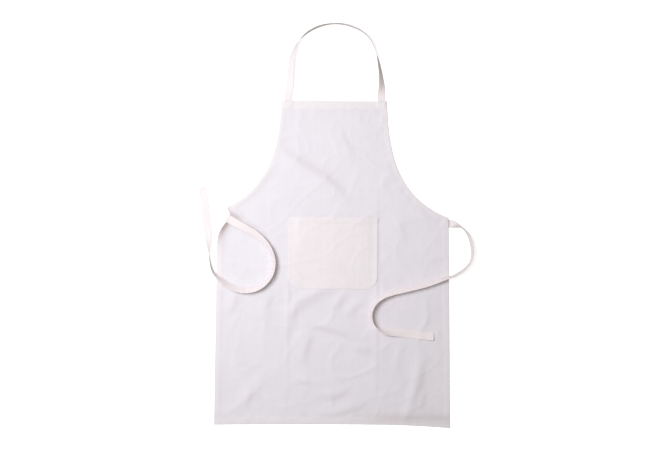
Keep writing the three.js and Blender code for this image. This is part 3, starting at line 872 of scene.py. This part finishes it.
class Tape:
    """A tape along a route: its middle, and the directions of its length, width and face."""

    def __init__(self, route, sewn, seed):
        line = smooth_line(route, ROUTE_STEPS)
        points, _, self.lengths = evenly(line[:, :3], TAPE_STEP)
        share = np.linspace(0, 1, len(line))
        steps = np.linalg.norm(np.diff(line[:, :3], axis=0), axis=1)
        reach = np.concatenate([[0], np.cumsum(steps)])
        self.at = np.interp(self.lengths, reach, share * (len(route) - 1))
        roll = np.interp(self.lengths, reach, line[:, 3])
        roll += TWIST * roll_of_noise(self.lengths, 0 * self.lengths, TWIST_LUMP, seed)
        turn = np.radians(roll)
        x, y, rest = points.T
        over_cloth = inside_outline(x, y) > -OVERHANG
        laid = np.where(over_cloth, cloth_face(x, y) + CLEARANCE, ON_TABLE)
        rest = np.where(self.at > sewn, np.maximum(rest, laid), rest)
        lean = TAPE_WIDTH / 2 * np.abs(np.sin(turn)) + TAPE / 2 * np.abs(np.cos(turn))
        eased = ramp(self.at, sewn + 0.2, sewn + 1.2)
        z = (rest + lean) * (1 - eased) + smoothed(rest + lean, 5) * eased
        self.middle = np.column_stack([x, y, z])
        left = np.column_stack([-np.gradient(y), np.gradient(x)])
        for i in range(len(left) - 2, -1, -1):
            if left[i] @ left[i + 1] < 0:
                left[i] = -left[i]
        left = smoothed(left / (np.linalg.norm(left, axis=1)[:, None] + 1e-9), 3)
        left /= np.linalg.norm(left, axis=1)[:, None]
        ahead = np.gradient(self.middle, axis=0)
        self.ahead = ahead / np.linalg.norm(ahead, axis=1)[:, None]
        edgeway = np.column_stack([left * np.cos(turn)[:, None], np.sin(turn)])
        edgeway -= (edgeway * self.ahead).sum(1)[:, None] * self.ahead
        self.edgeway = edgeway / np.linalg.norm(edgeway, axis=1)[:, None]
        self.face = np.cross(self.ahead, self.edgeway)

    def thickness(self):
        """Half the tape's thickness along it, more where its end is turned in."""
        inner = self.lengths[-1] - TURNED_END
        turned = ramp(self.lengths, inner, inner + 0.001)
        return TAPE / 2 * (1 + 0.5 * turned)

    def piece(self, name, first, last):
        """The stretch of tape between two places of its route."""
        held = (self.at >= first - 1e-6) & (self.at <= last + 1e-6)
        across, out = np.array(TAPE_SECTION).T
        spread = self.edgeway[held][:, None] * (across * TAPE_WIDTH / 2)[None, :, None]
        half = self.thickness()[held][:, None, None]
        rise = self.face[held][:, None] * out[None, :, None] * half
        rings = self.middle[held][:, None] + spread + rise
        rings[:, :, 2] = np.maximum(rings[:, :, 2], 0.0001)
        made = wrapped_piece(name, rings, self.lengths[held])
        made.data.materials.append(tape_finish)
        noted(made, "layers", np.ones(len(made.data.vertices)))
        return made, np.ptp(self.lengths[held])

    def row(self, name, first, last):
        """The closing row of stitching between two places of the route, seen on both faces."""
        start, end = np.interp((first, last), self.at, self.lengths)
        stops = np.arange(start, end, STITCH_PITCH)

        def there(rows):
            return np.stack([np.interp(stops, self.lengths, axis) for axis in rows.T], 1)

        middle = there(self.middle) - there(self.edgeway) * TAPE_ROW * TAPE_WIDTH / 2
        lift = there(self.face) * 0.72 * TAPE / 2
        places = np.vstack([middle + lift, middle - lift])
        ways = np.tile(there(self.ahead), (2, 1))
        faces = np.vstack([there(self.face), -there(self.face)])
        return stitches(name, places, ways, faces)


def smoothed(rows, reach):
    """Rows averaged with their neighbours."""
    padded = np.concatenate([rows[:1].repeat(reach, 0), rows, rows[-1:].repeat(reach, 0)])
    return sum(padded[i : i + len(rows)] for i in range(2 * reach + 1)) / (2 * reach + 1)


# The neck strap is in one piece. It leaves the bib flat at both ends, and stands on its outer
# edge over the top of the loop. Both ends are sewn in behind the top hem, each with a box stitch.
NECK_ROUTE = [
    (-0.126, 0.303, ON_TABLE, 0), (-0.126, 0.323, ON_TABLE, 0), (-0.126, 0.336, ON_TABLE, -4),
    (-0.124, 0.350, ON_TABLE, -18), (-0.122, 0.367, ON_TABLE, -27), (-0.120, 0.400, ON_TABLE, -30),
    (-0.117, 0.431, ON_TABLE, -42), (-0.111, 0.455, ON_TABLE, -56), (-0.102, 0.477, ON_TABLE, -74),
    (-0.085, 0.498, ON_TABLE, -87), (-0.064, 0.513, ON_TABLE, -91), (-0.040, 0.524, ON_TABLE, -91),
    (-0.012, 0.530, ON_TABLE, -86), (0.020, 0.530, ON_TABLE, -88), (0.048, 0.523, ON_TABLE, -90),
    (0.072, 0.512, ON_TABLE, -90), (0.093, 0.495, ON_TABLE, -90), (0.106, 0.474, ON_TABLE, -90),
    (0.114, 0.452, ON_TABLE, -84), (0.121, 0.425, ON_TABLE, -70), (0.127, 0.393, ON_TABLE, -58),
    (0.130, 0.363, ON_TABLE, -40), (0.130, 0.345, ON_TABLE, -14), (0.130, 0.334, ON_TABLE, -2),
    (0.130, 0.323, ON_TABLE, 0), (0.130, 0.303, ON_TABLE, 0),
]

neck = Tape(NECK_ROUTE, len(NECK_ROUTE), seed=21)
neck_strap, length = neck.piece("neck_strap_tape", 0, len(NECK_ROUTE) - 1)
neck_stitches = neck.row("neck_strap_stitches", 1.2, len(NECK_ROUTE) - 2.2)
for piece in (neck_strap, neck_stitches):
    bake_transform(piece)
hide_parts("neck_strap", "neck_strap_sewn_end_left", "neck_strap_sewn_end_right")
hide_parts("neck_strap_stitching")

BOX_STITCH = (0.008, 0.005)
BOX_DROP = 0.009

for side, x in (("left", -0.126), ("right", 0.130)):
    y = BIB_TOP - BOX_DROP
    corners = [(-1, -1), (1, -1), (1, 1), (-1, 1), (-1, -1)]
    square = np.array([(x + a * BOX_STITCH[0], y + b * BOX_STITCH[1]) for a, b in corners])
    flat_row("box_stitch_" + side, square, cloth_face, "neck_strap_box_stitch_" + side)


# The left tie is sewn in behind the side hem, folds forward over the edge, runs round in a loop
# on the skirt, and leaves it again to end flat on the table. Its end is turned in and sewn.
LEFT_FOLD = 4
LEFT_SPLIT = 24
LEFT_BEND = 25
LEFT_ROUTE = [
    (-0.282, -0.010, ON_TABLE, 0), (-0.287, -0.0071, ON_TABLE, 0), (-0.292, -0.0042, ON_TABLE, 0),
    (-0.295, -0.0024, 0.0024, 0), (-0.292, -0.0042, ON_HEM + 0.0006, 0),
    (-0.283, -0.0094, ON_HEM + 0.0006, 4), (-0.264, -0.020, ON_HEM + ARCH, 12),
    (-0.242, -0.032, ON_HEM + ARCH, 18), (-0.215, -0.048, ON_CLOTH + ARCH, 25),
    (-0.192, -0.067, ON_CLOTH, 38), (-0.174, -0.088, ON_CLOTH, 54), (-0.163, -0.113, ON_CLOTH, 66),
    (-0.1615, -0.138, ON_CLOTH, 70), (-0.170, -0.164, ON_CLOTH, 69), (-0.190, -0.187, ON_CLOTH, 64),
    (-0.215, -0.1995, ON_CLOTH, 56), (-0.245, -0.2025, ON_CLOTH, 50),
    (-0.275, -0.1945, ON_CLOTH, 52), (-0.303, -0.177, ON_HEM, 64), (-0.325, -0.157, ON_HEM, 80),
    (-0.336, -0.132, ON_TABLE, 90), (-0.340, -0.105, ON_TABLE, 99), (-0.342, -0.077, ON_TABLE, 128),
    (-0.345, -0.050, ON_TABLE, 157), (-0.3475, -0.026, ON_TABLE, 176),
    (-0.351, 0.006, ON_TABLE, 180), (-0.356, 0.045, ON_TABLE, 180), (-0.362, 0.081, ON_TABLE, 180),
]

# The right tie comes out from behind the side hem, bows round on edge beside the apron, crosses
# back over the skirt, and turns again into its flat end.
RIGHT_SEWN = 2
RIGHT_SPLIT = 27
RIGHT_BEND = 28
RIGHT_ROUTE = [
    (0.306, -0.016, ON_TABLE, 0), (0.314, -0.016, ON_TABLE, 0), (0.322, -0.016, ON_TABLE, 0),
    (0.334, -0.018, ON_TABLE, 38), (0.350, -0.025, ON_TABLE, 82), (0.364, -0.037, ON_TABLE, 82),
    (0.375, -0.055, ON_TABLE, 73), (0.381, -0.079, ON_TABLE, 72), (0.382, -0.102, ON_TABLE, 80),
    (0.375, -0.124, ON_TABLE, 82), (0.358, -0.143, ON_TABLE, 79), (0.341, -0.154, ON_TABLE, 79),
    (0.329, -0.160, ON_HEM, 78), (0.307, -0.166, ON_HEM, 72), (0.279, -0.1755, ON_CLOTH, 62),
    (0.246, -0.186, ON_CLOTH, 57), (0.205, -0.1965, ON_CLOTH, 57), (0.167, -0.206, ON_CLOTH, 60),
    (0.138, -0.2175, ON_CLOTH, 68), (0.116, -0.2365, ON_CLOTH, 74), (0.1055, -0.262, ON_CLOTH, 77),
    (0.109, -0.286, ON_CLOTH, 82), (0.121, -0.302, ON_CLOTH, 93), (0.136, -0.310, ON_CLOTH, 120),
    (0.151, -0.313, ON_CLOTH, 142), (0.166, -0.315, ON_CLOTH, 157), (0.180, -0.3165, ON_CLOTH, 169),
    (0.194, -0.318, ON_CLOTH, 177), (0.220, -0.321, ON_CLOTH, 180), (0.248, -0.324, ON_CLOTH, 175),
    (0.278, -0.326, ON_CLOTH + 0.001, 168),
]

TIES = [
    ("left_tie", LEFT_ROUTE, LEFT_FOLD + 0.2, LEFT_FOLD + 0.6, LEFT_SPLIT, LEFT_BEND, 31),
    ("right_tie", RIGHT_ROUTE, RIGHT_SEWN, RIGHT_SEWN - 0.4, RIGHT_SPLIT, RIGHT_BEND, 37),
]
END_STITCHES = 6

for name, route, sewn, seen, split, bend, seed in TIES:
    tie = Tape(route, sewn, seed)
    last = len(route) - 1
    split = tie.at[np.searchsorted(tie.at, split)]
    main, main_length = tie.piece(name + "_tape", 0, split)
    tail, tail_length = tie.piece(name + "_tail", split, last)
    main_row = tie.row(name + "_stitches", seen, split)
    tail_row = tie.row(name + "_tail_stitches", split, last - 0.35)
    for piece, node in ((main, name), (main_row, name + "_stitching")):
        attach(piece, "apron")
        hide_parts(node)

    spots = np.linspace(-0.42, 0.42, END_STITCHES)[:, None] * TAPE_WIDTH * tie.edgeway[-1]
    near_end = int(np.searchsorted(tie.lengths, tie.lengths[-1] - TURNED_END + 0.0015))
    upper = -tie.face[near_end]
    across = tie.middle[near_end] + spots + upper * 0.95 * tie.thickness()[near_end]
    ways = np.tile(tie.edgeway[-1], (END_STITCHES, 1))
    faces = np.tile(upper, (END_STITCHES, 1))
    end_row = stitches(name + "_end_stitches", across, ways, faces)
    for piece in (tail, tail_row, end_row):
        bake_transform(piece)
    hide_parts(name + "_end")
    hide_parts(name + "_end_stitching")


low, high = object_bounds()
